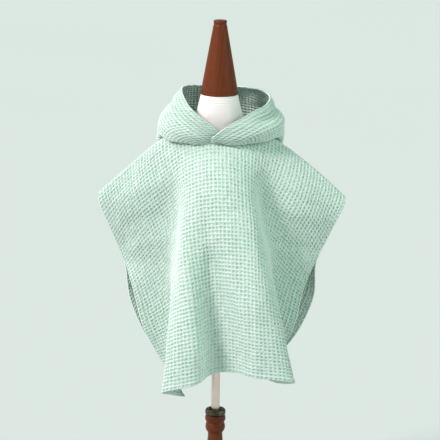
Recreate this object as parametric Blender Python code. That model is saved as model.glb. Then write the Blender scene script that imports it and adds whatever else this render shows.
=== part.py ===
"""Hooded bath poncho of waffle cotton, worn by a limbless dress form on a turned stand."""
import math

import bmesh
import bpy
import numpy as np

# metres, Z up, the front of the garment faces -Y, the origin is on the floor under the stand
CLOTH = 0.0024            # thickness of the waffle cloth
SEAM_GAP = 0.0003         # air between two pieces that are sewn together
PANEL_WIDTH = 0.690       # cut of the front and of the back, edge to edge
PANEL_LENGTH = 0.630      # shoulder line to hem
NECK_HALF = 0.078         # half width of the neck hole along the shoulder line
NECK_FRONT = 0.082        # depth of the neck hole in the front
NECK_BACK = 0.062         # depth of the neck hole in the back
STATIONS = (0.0, 0.09, 0.17, 0.28, 0.39, 0.51, 0.63)   # down the cloth from the shoulder line

FRONT_FOLDS = (  # fold, across at shoulder, across at hem, reach and drop over the shoulder,
    # then the places down the fold at the stations
    ("left edge", -0.345, -0.345, 0.004, 0.004, (
        (-0.287, 0, 0.891), (-0.256, -0.0065, 0.806), (-0.227, -0.0028, 0.736), (-0.199, -0.0413, 0.657),
        (-0.174, -0.0575, 0.573), (-0.129, -0.0334, 0.481), (-0.076, -0.0205, 0.39))),
    ("left wing", -0.24, -0.265, 0.012, 0.012, (
        (-0.209, 0, 0.961), (-0.201, -0.0412, 0.891), (-0.175, -0.0401, 0.818), (-0.134, -0.0409, 0.72),
        (-0.105, -0.063, 0.622), (-0.087, -0.0918, 0.514), (-0.104, -0.095, 0.418))),
    ("left ridge", -0.14, -0.172, 0.032, 0.03, (
        (-0.133, 0, 1.024), (-0.126, -0.0467, 0.958), (-0.103, -0.0593, 0.886), (-0.098, -0.0944, 0.787),
        (-0.104, -0.1316, 0.682), (-0.113, -0.1583, 0.564), (-0.122, -0.1732, 0.45))),
    ("left bulge", -0.085, -0.105, 0.05, 0.036, (
        (-0.083, 0, 1.051), (-0.082, -0.061, 0.996), (-0.076, -0.0957, 0.922), (-0.078, -0.1386, 0.818),
        (-0.071, -0.1704, 0.711), (-0.063, -0.1831, 0.59), (-0.061, -0.1812, 0.467))),
    ("valley", -0.028, -0.04, 0.06, 0.031, (
        (-0.028, 0, 1.06), (-0.028, -0.0722, 1.017), (-0.027, -0.1162, 0.945), (-0.023, -0.1465, 0.835),
        (-0.017, -0.1515, 0.723), (-0.014, -0.1497, 0.601), (-0.014, -0.1365, 0.48))),
    ("middle", 0.028, 0.025, 0.06, 0.031, (
        (0.028, 0, 1.06), (0.028, -0.0723, 1.017), (0.03, -0.1191, 0.947), (0.034, -0.1585, 0.84),
        (0.039, -0.1683, 0.728), (0.047, -0.1577, 0.606), (0.05, -0.1321, 0.487))),
    ("right bump", 0.085, 0.085, 0.05, 0.036, (
        (0.083, 0, 1.051), (0.082, -0.0614, 0.997), (0.079, -0.0999, 0.926), (0.088, -0.1511, 0.829),
        (0.093, -0.1878, 0.725), (0.098, -0.1882, 0.604), (0.104, -0.1639, 0.484))),
    ("right ridge", 0.14, 0.165, 0.032, 0.03, (
        (0.135, 0, 1.024), (0.127, -0.0459, 0.958), (0.101, -0.0589, 0.888), (0.112, -0.1053, 0.793),
        (0.135, -0.1502, 0.696), (0.159, -0.1656, 0.586), (0.184, -0.1576, 0.472))),
    ("right wing", 0.24, 0.255, 0.012, 0.012, (
        (0.222, 0, 0.961), (0.209, -0.0389, 0.892), (0.179, -0.0324, 0.823), (0.138, -0.0431, 0.729),
        (0.116, -0.085, 0.641), (0.113, -0.1172, 0.538), (0.155, -0.0801, 0.446))),
    ("right edge", 0.345, 0.345, 0.004, 0.004, (
        (0.304, 0, 0.888), (0.272, -0.0065, 0.806), (0.24, -0.0028, 0.737), (0.207, -0.0345, 0.665),
        (0.187, -0.0675, 0.589), (0.15, -0.0509, 0.504), (0.114, 0.0037, 0.437))),
)
BACK_FOLDS = (  # the same columns
    ("left edge", -0.345, -0.345, 0.004, 0.004, (
        (-0.287, 0, 0.891), (-0.256, 0.0065, 0.806), (-0.227, 0.0028, 0.736), (-0.21, 0.0104, 0.626),
        (-0.17, 0.0269, 0.528), (-0.122, 0.064, 0.462), (-0.064, 0.045, 0.418))),
    ("left wing", -0.24, -0.255, 0.012, 0.012, (
        (-0.209, 0, 0.961), (-0.2, 0.0421, 0.889), (-0.178, 0.0403, 0.81), (-0.148, 0.0347, 0.704),
        (-0.124, 0.0604, 0.608), (-0.096, 0.1146, 0.515), (-0.086, 0.1337, 0.418))),
    ("left ridge", -0.14, -0.16, 0.032, 0.03, (
        (-0.133, 0, 1.024), (-0.126, 0.0455, 0.956), (-0.108, 0.0554, 0.877), (-0.096, 0.0855, 0.771),
        (-0.105, 0.1333, 0.672), (-0.119, 0.1832, 0.563), (-0.114, 0.2111, 0.447))),
    ("left back", -0.07, -0.075, 0.05, 0.036, (
        (-0.068, 0, 1.055), (-0.067, 0.0608, 0.999), (-0.063, 0.0943, 0.921), (-0.063, 0.1386, 0.815),
        (-0.065, 0.1849, 0.713), (-0.062, 0.2223, 0.599), (-0.045, 0.2102, 0.482))),
    ("centre", 0, 0.005, 0.06, 0.031, (
        (0, 0, 1.062), (0, 0.0714, 1.018), (0.003, 0.1117, 0.94), (0.005, 0.1568, 0.832),
        (0.007, 0.1975, 0.726), (0.01, 0.203, 0.608), (0.013, 0.1657, 0.494))),
    ("right back", 0.07, 0.08, 0.05, 0.036, (
        (0.068, 0, 1.055), (0.068, 0.0602, 0.999), (0.067, 0.0916, 0.92), (0.069, 0.1356, 0.815),
        (0.076, 0.1815, 0.713), (0.079, 0.2186, 0.599), (0.067, 0.2099, 0.481))),
    ("right ridge", 0.14, 0.165, 0.032, 0.03, (
        (0.135, 0, 1.024), (0.13, 0.0461, 0.956), (0.116, 0.0558, 0.877), (0.104, 0.0829, 0.772),
        (0.114, 0.1287, 0.672), (0.136, 0.1771, 0.565), (0.14, 0.2132, 0.452))),
    ("right wing", 0.24, 0.258, 0.012, 0.012, (
        (0.222, 0, 0.961), (0.212, 0.0421, 0.891), (0.192, 0.0421, 0.814), (0.166, 0.0379, 0.71),
        (0.139, 0.0578, 0.613), (0.121, 0.11, 0.515), (0.124, 0.135, 0.424))),
    ("right edge", 0.345, 0.345, 0.004, 0.004, (
        (0.304, 0, 0.888), (0.272, 0.0065, 0.806), (0.24, 0.0028, 0.737), (0.236, 0.0198, 0.64),
        (0.201, 0.0351, 0.547), (0.146, 0.048, 0.47), (0.108, 0.052, 0.424))),
)
HOOD_CENTRE_Y = 0.010     # the hood is laid out by angle round this line, 0 at the front
HOOD_LEFT = (  # angle, seam lift, fold reach, fold lift, then r and z of outer, upper and rim
    (-12.0, 0.003, -0.001, 0.0036, 0.0785, 1.03, 0.0787, 1.033, 0.0792, 1.036),
    (2.0, 0.003, -0.001, 0.0036, 0.0795, 1.036, 0.0815, 1.047, 0.0835, 1.0575),
    (15.0, 0.0032, 0, 0.0045, 0.0855, 1.042, 0.088, 1.058, 0.087, 1.0745),
    (32.0, 0.0034, 0.01, 0.0085, 0.104, 1.048, 0.1, 1.07, 0.088, 1.092),
    (52.0, 0.0036, 0.022, 0.012, 0.121, 1.054, 0.109, 1.083, 0.088, 1.11),
    (73.0, 0.0038, 0.041, 0.014, 0.136, 1.057, 0.116, 1.093, 0.0875, 1.129),
    (92.0, 0.0038, 0.062, 0.012, 0.143, 1.057, 0.119, 1.099, 0.0885, 1.141),
    (122.0, 0.0038, 0.086, 0.012, 0.154, 1.04, 0.133, 1.096, 0.0905, 1.144),
    (150.0, 0.0036, 0.104, 0.012, 0.164, 1.01, 0.144, 1.084, 0.092, 1.141),
    (180.0, 0.0036, 0.112, 0.012, 0.17, 0.99, 0.15, 1.076, 0.092, 1.137),
)
HOOD_RIGHT = (  # the same columns
    (-10.0, 0.0092, -0.001, 0.01, 0.0905, 1.036, 0.0925, 1.04, 0.0945, 1.044),
    (5.0, 0.0078, 0.001, 0.0092, 0.092, 1.041, 0.095, 1.051, 0.095, 1.063),
    (18.0, 0.0064, 0.006, 0.0095, 0.1005, 1.044, 0.1015, 1.06, 0.094, 1.076),
    (32.0, 0.0044, 0.011, 0.011, 0.112, 1.05, 0.108, 1.068, 0.094, 1.086),
    (50.0, 0.004, 0.019, 0.015, 0.129, 1.059, 0.119, 1.08, 0.0985, 1.1),
    (74.0, 0.004, 0.04, 0.019, 0.147, 1.064, 0.136, 1.089, 0.113, 1.113),
    (93.0, 0.004, 0.066, 0.014, 0.153, 1.06, 0.144, 1.092, 0.12, 1.125),
    (120.0, 0.0038, 0.088, 0.012, 0.162, 1.042, 0.15, 1.09, 0.117, 1.132),
    (150.0, 0.0036, 0.104, 0.012, 0.166, 1.01, 0.15, 1.082, 0.102, 1.137),
    (180.0, 0.0036, 0.112, 0.012, 0.17, 0.99, 0.15, 1.076, 0.092, 1.137),
)
TORSO = (       # z, half width, half depth, centre y
    (0.604, 0.060, 0.048, 0.000),
    (0.606, 0.098, 0.070, 0.000),
    (0.618, 0.116, 0.082, 0.000),
    (0.650, 0.120, 0.086, 0.000),
    (0.710, 0.115, 0.081, 0.000),
    (0.780, 0.111, 0.077, 0.000),
    (0.850, 0.115, 0.080, 0.000),
    (0.910, 0.121, 0.080, 0.000),
    (0.950, 0.125, 0.074, 0.000),
    (0.980, 0.1285, 0.066, 0.000),
    (1.0024, 0.125, 0.056, 0.000),
    (1.0186, 0.113, 0.050, 0.000),
    (1.0326, 0.097, 0.045, 0.000),
    (1.0462, 0.0765, 0.042, 0.000),
    (1.060, 0.064, 0.0435, 0.000),
    (1.086, 0.056, 0.0460, 0.000),
    (1.112, 0.049, 0.0455, 0.000),
    (1.1340, 0.0440, 0.0440, 0.000),
)
FINIAL = ((1.1342, 0.0), (1.1342, 0.0436), (1.1352, 0.0446), (1.1500, 0.0424), (1.2200, 0.0300),
          (1.2950, 0.0166), (1.3020, 0.0152), (1.3050, 0.0158), (1.3085, 0.0156),
           (1.3102, 0.0140), (1.3106, 0.0))
POLE = ((0.3402, 0.0), (0.3402, 0.0103), (0.6038, 0.0103), (0.6038, 0.0))
COLLAR = ((0.3402, 0.0130), (0.3402, 0.0232), (0.3430, 0.0252), (0.3490, 0.0252), (0.3530, 0.0236),
          (0.3540, 0.0205),
          (0.3530, 0.0150), (0.3500, 0.0130))
COLUMN = ((0.0322, 0.0), (0.0322, 0.0400), (0.0370, 0.0430), (0.0450, 0.0430), (0.0500, 0.0390),
          (0.0560, 0.0290), (0.0640, 0.0240), (0.0720, 0.0245), (0.0800, 0.0300), (0.0960, 0.0365),
          (0.1180, 0.0400), (0.1450, 0.0390), (0.1750, 0.0340), (0.2100, 0.0275), (0.2400, 0.0232),
          (0.2620, 0.0205), (0.2800, 0.0182), (0.2900, 0.0175), (0.2960, 0.0190), (0.3000, 0.0222),
          (0.3060, 0.0240), (0.3130, 0.0240), (0.3180, 0.0224), (0.3200, 0.0214), (0.3220, 0.0226),
          (0.3270, 0.0250), (0.3330, 0.0252), (0.3380, 0.0238), (0.3400, 0.0220), (0.3400, 0.0))
BASE = ((0.0, 0.0), (0.0, 0.1480), (0.0030, 0.1510), (0.0110, 0.1520), (0.0150, 0.1500), (0.0170, 0.1440),
        (0.0190, 0.1300), (0.0230, 0.0980), (0.0280, 0.0640), (0.0320, 0.0520), (0.0320, 0.0))
MINT = (0.560, 0.760, 0.660)
WHITE = (0.900, 0.885, 0.870)
WOOD = (0.165, 0.048, 0.022)
STEEL = (0.560, 0.520, 0.480)
BRONZE = (0.085, 0.058, 0.034)

for old in list(bpy.data.objects):
    bpy.data.objects.remove(old, do_unlink=True)


def spline(knots, points, x, start=None):
    """Smooth curve through points (knot, sample, 3) at x (sample)."""
    count = len(points)
    knots = np.broadcast_to(knots, (count, len(x)))
    step = np.diff(knots, axis=0)[:, :, None]
    rate = np.diff(points, axis=0) / step
    slope = np.empty_like(points)
    slope[1:-1] = (rate[:-1] * step[1:] + rate[1:] * step[:-1]) / (step[:-1] + step[1:])
    slope[0] = 1.5 * rate[0] - 0.5 * slope[1] if start is None else start
    slope[-1] = 1.5 * rate[-1] - 0.5 * slope[-2]
    low = np.clip((x[None, :] >= knots).sum(axis=0) - 1, 0, count - 2)
    pick = np.arange(len(x))
    width = step[low, pick]
    t = (x - knots[low, pick])[:, None] / width
    t2, t3 = t * t, t * t * t
    return ((2 * t3 - 3 * t2 + 1) * points[low, pick] + (t3 - 2 * t2 + t) * width * slope[low, pick]
            + (3 * t2 - 2 * t3) * points[low + 1, pick] + (t3 - t2) * width * slope[low + 1, pick])


def panel_place(folds, side, across, down):
    """Middle of the cloth of a panel at a place of its flat cut."""
    lines, tops, hems = [], [], []
    for name, top, hem, reach, drop, places in folds:
        places = np.array(places, float)
        places[0, 1] += side * SEAM_GAP / 2
        over = places[0] + (0.0, side * reach, -drop)
        arc = math.pi / 2 * math.hypot(reach, drop) / math.sqrt(2)
        knots = np.array((0.0, arc) + STATIONS[1:])[:, None]
        stops = np.vstack((places[:1], over[None], places[1:]))[:, None, :] * np.ones((1, len(down), 1))
        lines.append(spline(knots, stops, down, np.array((0.0, side, 0.0))))
        tops.append(top)
        hems.append(hem)
    tops, hems = np.array(tops)[:, None], np.array(hems)[:, None]
    return spline(tops + (hems - tops) * down / PANEL_LENGTH, np.array(lines), across)


def panel_normal(folds, side, across, down):
    h = 0.0004
    low, high = np.maximum(down - h, 0.0), np.minimum(down + h, PANEL_LENGTH)
    left, right = np.maximum(across - h, -PANEL_WIDTH / 2), np.minimum(across + h, PANEL_WIDTH / 2)
    along = panel_place(folds, side, right, down) - panel_place(folds, side, left, down)
    fall = panel_place(folds, side, across, high) - panel_place(folds, side, across, low)
    out = np.cross(along, fall) * side
    out[down <= 0.0, 1] = 0.0
    return out / np.linalg.norm(out, axis=1)[:, None]


def scoop(across, depth):
    inside = np.clip(1.0 - (across / NECK_HALF) ** 2, 0.0, None)
    return depth * inside ** 0.5


def panel_grid(folds, side, depth, columns, rows):
    across = np.repeat(np.array(columns)[:, None], len(rows), axis=1)
    top = scoop(across, depth)
    down = top + (PANEL_LENGTH - top) * np.array(rows)[None, :]
    flat = (across.ravel(), down.ravel())
    shape = across.shape + (3,)
    middle = panel_place(folds, side, *flat).reshape(shape)
    normal = panel_normal(folds, side, *flat).reshape(shape)
    return middle, normal


def hood_grid(table, hand, steps, turns):
    """Middle of the cloth of one hood half, seam to rim, laid over the panels."""
    turns = np.asarray(turns, float)
    table = np.array(table)
    sizes = spline(table[:, :1], table[:, None, 1:] * np.ones((1, len(turns), 1)), turns).T
    lift, fold, fold_lift, radii, heights = sizes[0], sizes[1], sizes[2], sizes[3::2], sizes[4::2]
    sin, cos = np.sin(np.radians(turns)) * hand, np.cos(np.radians(turns))
    ahead = cos > 0
    stops = []
    for share, rise in ((0.0, 0.0), (0.30, 0.05), (0.58, 0.12), (0.82, 0.32), (1.0, 1.0)):
        reach = 0.0015 + fold * share
        across = (NECK_HALF + reach) * sin
        down = (np.where(ahead, NECK_FRONT, NECK_BACK) + reach) * np.abs(cos)
        level = (lift + (fold_lift - lift) * rise)[:, None]
        both = [panel_place(folds, side, across, down) + panel_normal(folds, side, across, down) * level
                for folds, side in ((FRONT_FOLDS, -1), (BACK_FOLDS, 1))]
        stops.append(np.where(ahead[:, None], *both))
    for radius, z in zip(radii, heights):
        stops.append(np.stack((radius * sin, HOOD_CENTRE_Y - radius * cos, z), axis=1))
    stops = np.array(stops)
    stops[:, -1, 0] = hand * SEAM_GAP / 2
    length = np.linalg.norm(np.diff(stops, axis=0), axis=2)
    knots = np.vstack((np.zeros(len(turns)), np.cumsum(length ** 0.6, axis=0)))
    knots /= knots[-1]
    grid = np.stack([spline(knots, stops, np.full(len(turns), s)) for s in steps], axis=1)
    grid[-1, :, 0] = hand * SEAM_GAP / 2
    return grid


def grid_normal(grid):
    along = np.gradient(grid, axis=0)
    fall = np.gradient(grid, axis=1)
    out = np.cross(along, fall)
    return out / np.linalg.norm(out, axis=2)[:, :, None]


def material(name, colour, roughness, metallic=0.0):
    made = bpy.data.materials.new(name)
    made.use_nodes = True
    shader = made.node_tree.nodes["Principled BSDF"]
    shader.inputs["Base Color"].default_value = (*colour, 1.0)
    shader.inputs["Roughness"].default_value = roughness
    shader.inputs["Metallic"].default_value = metallic
    made.diffuse_color = (*colour, 1.0)
    return made


def place(name, verts, faces, made):
    mesh = bpy.data.meshes.new(name)
    mesh.from_pydata([tuple(float(c) for c in v) for v in verts], [], faces)
    builder = bmesh.new()
    builder.from_mesh(mesh)
    bmesh.ops.recalc_face_normals(builder, faces=builder.faces)
    if builder.calc_volume(signed=True) < 0:
        bmesh.ops.reverse_faces(builder, faces=builder.faces)
    builder.to_mesh(mesh)
    builder.free()
    item = bpy.data.objects.new(name, mesh)
    item.data.materials.append(made)
    bpy.context.collection.objects.link(item)
    return item


def cloth(name, middle, normal, made):
    """Closed cloth: the two faces of the grid joined round all four edges."""
    wide, tall = middle.shape[:2]
    outer, inner = middle + normal * CLOTH / 2, middle - normal * CLOTH / 2
    verts = np.concatenate((outer.reshape(-1, 3), inner.reshape(-1, 3)))
    spot = lambda i, j, layer: layer * wide * tall + i * tall + j
    faces = []
    for i in range(wide - 1):
        for j in range(tall - 1):
            ring = (spot(i, j, 0), spot(i + 1, j, 0), spot(i + 1, j + 1, 0), spot(i, j + 1, 0))
            faces.append(ring)
            faces.append(tuple(k + wide * tall for k in reversed(ring)))
    rim = ([(i, 0) for i in range(wide)] + [(wide - 1, j) for j in range(1, tall)]
           + [(i, tall - 1) for i in range(wide - 2, -1, -1)] + [(0, j) for j in range(tall - 2, 0, -1)])
    for a, b in zip(rim, rim[1:] + rim[:1]):
        faces.append((spot(*b, 0), spot(*a, 0), spot(*a, 1), spot(*b, 1)))
    return place(name, verts, faces, made)


def turned(name, profile, made, segments=48):
    """Solid of revolution from (z, radius); a profile that starts off the axis is a ring."""
    ring = profile[0][1] > 0.0
    verts, faces, loops = [], [], []
    for z, radius in profile:
        if radius == 0.0:
            verts.append((0.0, 0.0, z))
            loops.append([len(verts) - 1])
            continue
        loops.append(list(range(len(verts), len(verts) + segments)))
        for k in range(segments):
            turn = 2 * math.pi * k / segments
            verts.append((radius * math.cos(turn), radius * math.sin(turn), z))
    pairs = list(zip(loops, loops[1:])) + ([(loops[-1], loops[0])] if ring else [])
    for low, high in pairs:
        for k in range(segments):
            n = (k + 1) % segments
            if len(low) == 1:
                faces.append((low[0], high[n], high[k]))
            elif len(high) == 1:
                faces.append((low[k], low[n], high[0]))
            else:
                faces.append((low[k], low[n], high[n], high[k]))
    return place(name, verts, faces, made)


def torso(name, sections, made, segments=48):
    table = np.array(sections)
    heights = np.concatenate([np.linspace(a, b, 3)[:-1] if b - a > 0.02 else [a]
                              for a, b in zip(table[:, 0], table[1:, 0])] + [[table[-1, 0]]])
    values = spline(table[:, :1], table[:, None, 1:] * np.ones((1, len(heights), 1)), heights)
    verts = []
    for z, (a, b, y) in zip(heights, values):
        for k in range(segments):
            turn = 2 * math.pi * k / segments
            verts.append((a * math.cos(turn), y + b * math.sin(turn), z))
    faces = [tuple(range(segments))[::-1], tuple(range(len(verts) - segments, len(verts)))]
    for row in range(len(heights) - 1):
        for k in range(segments):
            n = (k + 1) % segments
            low, high = row * segments, (row + 1) * segments
            faces.append((low + k, low + n, high + n, high + k))
    return place(name, verts, faces, made)


mint = material("mint waffle cotton", MINT, 0.95)
left = [-0.345, -0.337] + list(np.linspace(-0.315, -0.100, 9)) + [-0.078, -0.070, -0.054, -0.034, -0.012]
columns = left + [-c for c in reversed(left)]   # across the cloth, closest at the neck hole
# shares of the way from the neck's edge to the hem
rows = [0.0, 0.006, 0.014, 0.030, 0.055, 0.085] + list(np.linspace(0.122, 1.0, 21))
front = panel_grid(FRONT_FOLDS, -1, NECK_FRONT, columns, rows)
back = panel_grid(BACK_FOLDS, 1, NECK_BACK, columns, rows)
cloth("front_panel", front[0], front[1], mint)
cloth("back_panel", back[0], back[1], mint)
for name, table, hand in (("hood_left_half", HOOD_LEFT, -1), ("hood_right_half", HOOD_RIGHT, 1)):
    start = table[0][0]
    turns = [start, start + 6, start + 13] + list(np.linspace(start + 22, 180.0, 14))
    grid = hood_grid(table, hand, np.linspace(0.0, 1.0, 17), turns)
    normal = grid_normal(grid)
    normal[-1, :, 0] = 0.0
    normal[-1] /= np.linalg.norm(normal[-1], axis=1)[:, None]
    cloth(name, grid, normal, mint)
torso("form_torso", TORSO, material("white jersey cover", WHITE, 0.85))
turned("finial", FINIAL, material("turned walnut", WOOD, 0.35))
turned("pole", POLE, material("brushed steel", STEEL, 0.3, 1.0), segments=40)
turned("collar", COLLAR, material("aged bronze", BRONZE, 0.4, 1.0))
turned("column", COLUMN, material("column wood", WOOD, 0.35))
turned("base", BASE, material("base wood", WOOD, 0.35), segments=64)
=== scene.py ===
import math

import bmesh
import bpy
import numpy as np
from mathutils import Matrix, Vector


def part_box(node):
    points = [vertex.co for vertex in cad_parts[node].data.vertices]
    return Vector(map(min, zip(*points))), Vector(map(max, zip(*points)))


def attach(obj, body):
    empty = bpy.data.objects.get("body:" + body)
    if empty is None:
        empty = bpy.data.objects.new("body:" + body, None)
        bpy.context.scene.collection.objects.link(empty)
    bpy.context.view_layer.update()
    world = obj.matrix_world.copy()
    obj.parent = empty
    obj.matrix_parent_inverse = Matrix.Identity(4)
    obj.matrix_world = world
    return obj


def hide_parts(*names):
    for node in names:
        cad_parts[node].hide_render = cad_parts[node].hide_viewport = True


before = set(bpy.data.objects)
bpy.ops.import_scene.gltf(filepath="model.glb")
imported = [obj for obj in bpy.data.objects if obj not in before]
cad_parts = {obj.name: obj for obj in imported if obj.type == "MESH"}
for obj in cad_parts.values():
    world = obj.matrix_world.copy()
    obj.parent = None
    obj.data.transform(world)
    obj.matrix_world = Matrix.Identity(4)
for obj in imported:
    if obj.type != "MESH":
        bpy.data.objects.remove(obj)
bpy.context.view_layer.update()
scene = bpy.context.scene
scene.view_settings.view_transform = "Standard"

# metres, Z up, the front of the garment faces -Y, the pole stands on the Z axis

poncho = {
    "width": 0.690,           # flat cut, edge to edge
    "length": 0.630,          # shoulder line to hem
    "neckHalf": 0.078,        # half width of the neck hole on the shoulder line
    "neckFront": 0.082,
    "neckBack": 0.062,
    "thickness": 0.0024,
    "seamGap": 0.0003,
    "stations": (0.0, 0.09, 0.17, 0.28, 0.39, 0.51, 0.63),   # down the cloth from the shoulder line
}

frontFolds = (  # fold, across at shoulder, across at hem, reach and drop over the shoulder,
    # then the places down the fold at the stations
    ("left edge", -0.345, -0.345, 0.004, 0.004, (
        (-0.287, 0, 0.891), (-0.256, -0.0065, 0.806), (-0.227, -0.0028, 0.736), (-0.199, -0.0413, 0.657),
        (-0.174, -0.0575, 0.573), (-0.129, -0.0334, 0.481), (-0.076, -0.0205, 0.39))),
    ("left wing", -0.24, -0.265, 0.012, 0.012, (
        (-0.209, 0, 0.961), (-0.201, -0.0412, 0.891), (-0.175, -0.0401, 0.818), (-0.134, -0.0409, 0.72),
        (-0.105, -0.063, 0.622), (-0.087, -0.0918, 0.514), (-0.104, -0.095, 0.418))),
    ("left ridge", -0.14, -0.172, 0.032, 0.03, (
        (-0.133, 0, 1.024), (-0.126, -0.0467, 0.958), (-0.103, -0.0593, 0.886), (-0.098, -0.0944, 0.787),
        (-0.104, -0.1316, 0.682), (-0.113, -0.1583, 0.564), (-0.122, -0.1732, 0.45))),
    ("left bulge", -0.085, -0.105, 0.05, 0.036, (
        (-0.083, 0, 1.051), (-0.082, -0.061, 0.996), (-0.076, -0.0957, 0.922), (-0.078, -0.1386, 0.818),
        (-0.071, -0.1704, 0.711), (-0.063, -0.1831, 0.59), (-0.061, -0.1812, 0.467))),
    ("valley", -0.028, -0.04, 0.06, 0.031, (
        (-0.028, 0, 1.06), (-0.028, -0.0722, 1.017), (-0.027, -0.1162, 0.945), (-0.023, -0.1465, 0.835),
        (-0.017, -0.1515, 0.723), (-0.014, -0.1497, 0.601), (-0.014, -0.1365, 0.48))),
    ("middle", 0.028, 0.025, 0.06, 0.031, (
        (0.028, 0, 1.06), (0.028, -0.0723, 1.017), (0.03, -0.1191, 0.947), (0.034, -0.1585, 0.84),
        (0.039, -0.1683, 0.728), (0.047, -0.1577, 0.606), (0.05, -0.1321, 0.487))),
    ("right bump", 0.085, 0.085, 0.05, 0.036, (
        (0.083, 0, 1.051), (0.082, -0.0614, 0.997), (0.079, -0.0999, 0.926), (0.088, -0.1511, 0.829),
        (0.093, -0.1878, 0.725), (0.098, -0.1882, 0.604), (0.104, -0.1639, 0.484))),
    ("right ridge", 0.14, 0.165, 0.032, 0.03, (
        (0.135, 0, 1.024), (0.127, -0.0459, 0.958), (0.101, -0.0589, 0.888), (0.112, -0.1053, 0.793),
        (0.135, -0.1502, 0.696), (0.159, -0.1656, 0.586), (0.184, -0.1576, 0.472))),
    ("right wing", 0.24, 0.255, 0.012, 0.012, (
        (0.222, 0, 0.961), (0.209, -0.0389, 0.892), (0.179, -0.0324, 0.823), (0.138, -0.0431, 0.729),
        (0.116, -0.085, 0.641), (0.113, -0.1172, 0.538), (0.155, -0.0801, 0.446))),
    ("right edge", 0.345, 0.345, 0.004, 0.004, (
        (0.304, 0, 0.888), (0.272, -0.0065, 0.806), (0.24, -0.0028, 0.737), (0.207, -0.0345, 0.665),
        (0.187, -0.0675, 0.589), (0.15, -0.0509, 0.504), (0.114, 0.0037, 0.437))),
)
backFolds = (  # the same columns
    ("left edge", -0.345, -0.345, 0.004, 0.004, (
        (-0.287, 0, 0.891), (-0.256, 0.0065, 0.806), (-0.227, 0.0028, 0.736), (-0.21, 0.0104, 0.626),
        (-0.17, 0.0269, 0.528), (-0.122, 0.064, 0.462), (-0.064, 0.045, 0.418))),
    ("left wing", -0.24, -0.255, 0.012, 0.012, (
        (-0.209, 0, 0.961), (-0.2, 0.0421, 0.889), (-0.178, 0.0403, 0.81), (-0.148, 0.0347, 0.704),
        (-0.124, 0.0604, 0.608), (-0.096, 0.1146, 0.515), (-0.086, 0.1337, 0.418))),
    ("left ridge", -0.14, -0.16, 0.032, 0.03, (
        (-0.133, 0, 1.024), (-0.126, 0.0455, 0.956), (-0.108, 0.0554, 0.877), (-0.096, 0.0855, 0.771),
        (-0.105, 0.1333, 0.672), (-0.119, 0.1832, 0.563), (-0.114, 0.2111, 0.447))),
    ("left back", -0.07, -0.075, 0.05, 0.036, (
        (-0.068, 0, 1.055), (-0.067, 0.0608, 0.999), (-0.063, 0.0943, 0.921), (-0.063, 0.1386, 0.815),
        (-0.065, 0.1849, 0.713), (-0.062, 0.2223, 0.599), (-0.045, 0.2102, 0.482))),
    ("centre", 0, 0.005, 0.06, 0.031, (
        (0, 0, 1.062), (0, 0.0714, 1.018), (0.003, 0.1117, 0.94), (0.005, 0.1568, 0.832),
        (0.007, 0.1975, 0.726), (0.01, 0.203, 0.608), (0.013, 0.1657, 0.494))),
    ("right back", 0.07, 0.08, 0.05, 0.036, (
        (0.068, 0, 1.055), (0.068, 0.0602, 0.999), (0.067, 0.0916, 0.92), (0.069, 0.1356, 0.815),
        (0.076, 0.1815, 0.713), (0.079, 0.2186, 0.599), (0.067, 0.2099, 0.481))),
    ("right ridge", 0.14, 0.165, 0.032, 0.03, (
        (0.135, 0, 1.024), (0.13, 0.0461, 0.956), (0.116, 0.0558, 0.877), (0.104, 0.0829, 0.772),
        (0.114, 0.1287, 0.672), (0.136, 0.1771, 0.565), (0.14, 0.2132, 0.452))),
    ("right wing", 0.24, 0.258, 0.012, 0.012, (
        (0.222, 0, 0.961), (0.212, 0.0421, 0.891), (0.192, 0.0421, 0.814), (0.166, 0.0379, 0.71),
        (0.139, 0.0578, 0.613), (0.121, 0.11, 0.515), (0.124, 0.135, 0.424))),
    ("right edge", 0.345, 0.345, 0.004, 0.004, (
        (0.304, 0, 0.888), (0.272, 0.0065, 0.806), (0.24, 0.0028, 0.737), (0.236, 0.0198, 0.64),
        (0.201, 0.0351, 0.547), (0.146, 0.048, 0.47), (0.108, 0.052, 0.424))),
)
hoodLeft = (  # angle, seam lift, fold reach, fold lift, then radius and height of outer, upper and rim
    (-12.0, 0.003, -0.001, 0.0036, 0.0785, 1.03, 0.0787, 1.033, 0.0792, 1.036),
    (2.0, 0.003, -0.001, 0.0036, 0.0795, 1.036, 0.0815, 1.047, 0.0835, 1.0575),
    (15.0, 0.0032, 0, 0.0045, 0.0855, 1.042, 0.088, 1.058, 0.087, 1.0745),
    (32.0, 0.0034, 0.01, 0.0085, 0.104, 1.048, 0.1, 1.07, 0.088, 1.092),
    (52.0, 0.0036, 0.022, 0.012, 0.121, 1.054, 0.109, 1.083, 0.088, 1.11),
    (73.0, 0.0038, 0.041, 0.014, 0.136, 1.057, 0.116, 1.093, 0.0875, 1.129),
    (92.0, 0.0038, 0.062, 0.012, 0.143, 1.057, 0.119, 1.099, 0.0885, 1.141),
    (122.0, 0.0038, 0.086, 0.012, 0.154, 1.04, 0.133, 1.096, 0.0905, 1.144),
    (150.0, 0.0036, 0.104, 0.012, 0.164, 1.01, 0.144, 1.084, 0.092, 1.141),
    (180.0, 0.0036, 0.112, 0.012, 0.17, 0.99, 0.15, 1.076, 0.092, 1.137),
)
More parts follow.
